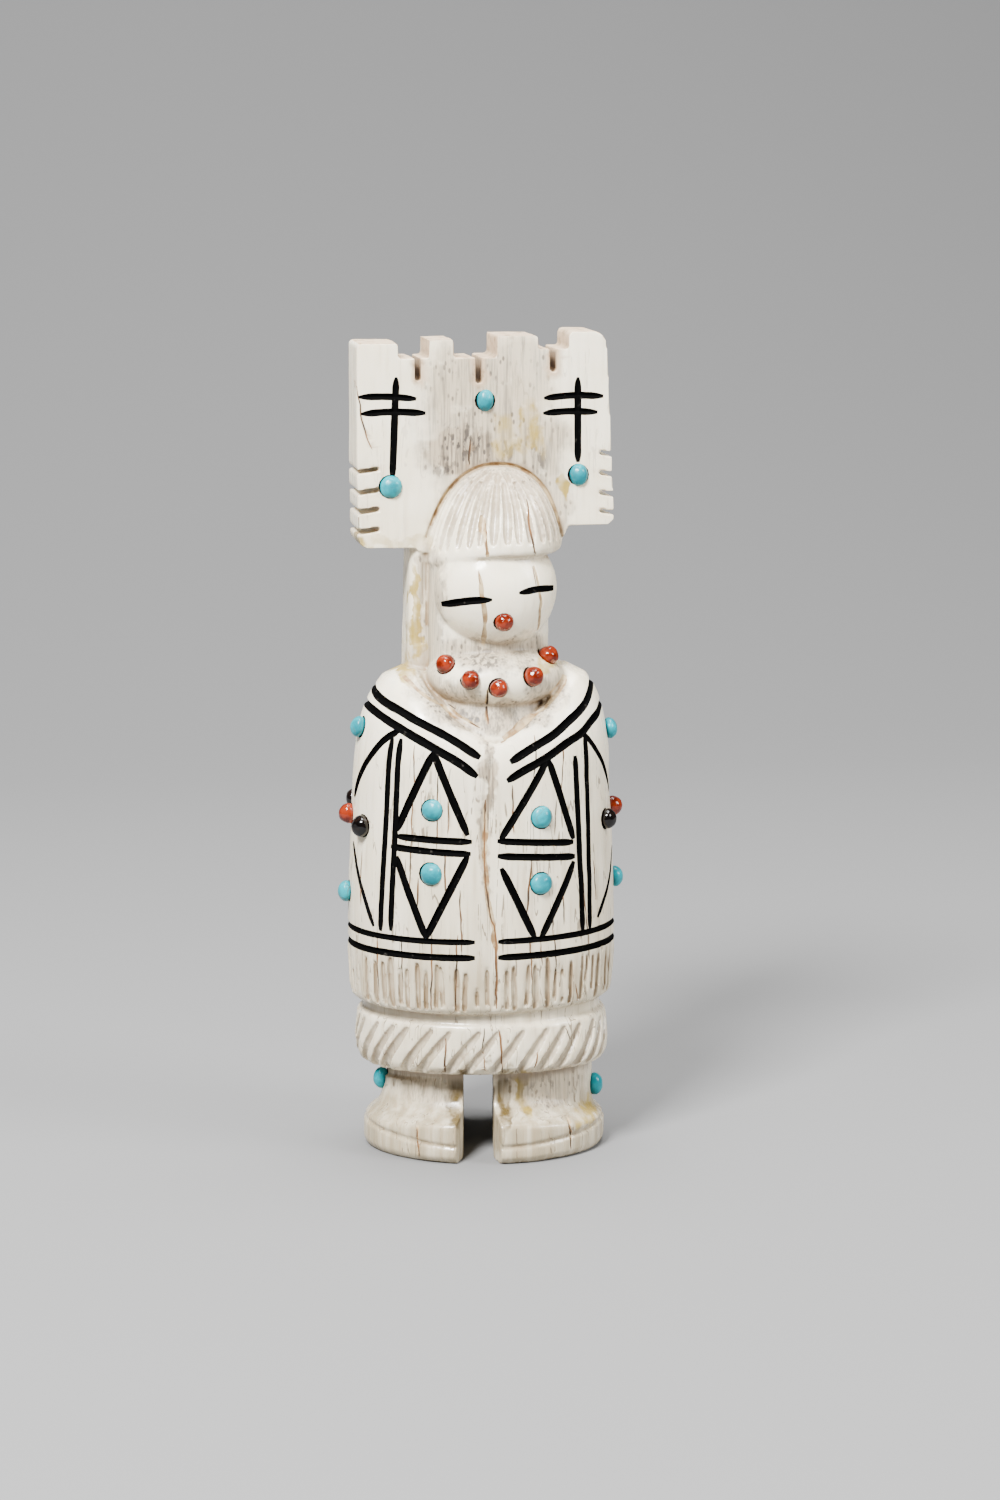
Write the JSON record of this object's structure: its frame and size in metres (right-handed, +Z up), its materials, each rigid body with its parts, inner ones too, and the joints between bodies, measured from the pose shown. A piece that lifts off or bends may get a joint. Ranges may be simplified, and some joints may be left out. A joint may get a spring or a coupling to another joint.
{
  "type": "corn maiden fetish carving",
  "caption": "Standing corn maiden carved from antler, with a stepped tablita headdress, cape with black engraved lines, skirt and boots, inlaid with turquoise, coral and jet.",
  "frame": {"origin": "on the ground, under the middle of the figure's bounding box", "axes": "+Z up along the figure, -Y towards its front"},
  "size_m": [0.035, 0.0254, 0.0985],
  "materials": {
    "antler": "polished antler, cream white, porous and stained in places, with black pigment in the engraved lines",
    "turquoise": "polished turquoise, sky blue to blue green",
    "coral": "polished orange-red coral",
    "jet": "polished black jet"
  },
  "bodies": {
    "root": {"antler_carving": "antler", "coral_mouth": "coral", "coral_necklace_1": "coral", "coral_necklace_2": "coral", "coral_necklace_3": "coral", "coral_necklace_4": "coral", "coral_necklace_5": "coral", "coral_side_left": "coral", "coral_side_right": "coral", "jet_left_back": "jet", "jet_left_front": "jet", "jet_right_back": "jet", "jet_right_front": "jet", "turquoise_boot_left": "turquoise", "turquoise_boot_right": "turquoise", "turquoise_cape_left_lower": "turquoise", "turquoise_cape_left_upper": "turquoise", "turquoise_cape_right_lower": "turquoise", "turquoise_cape_right_upper": "turquoise", "turquoise_side_left_lower": "turquoise", "turquoise_side_left_upper": "turquoise", "turquoise_side_right_lower": "turquoise", "turquoise_side_right_upper": "turquoise", "turquoise_tablita_centre": "turquoise", "turquoise_tablita_left": "turquoise", "turquoise_tablita_right": "turquoise"}
  },
  "joints": []
}
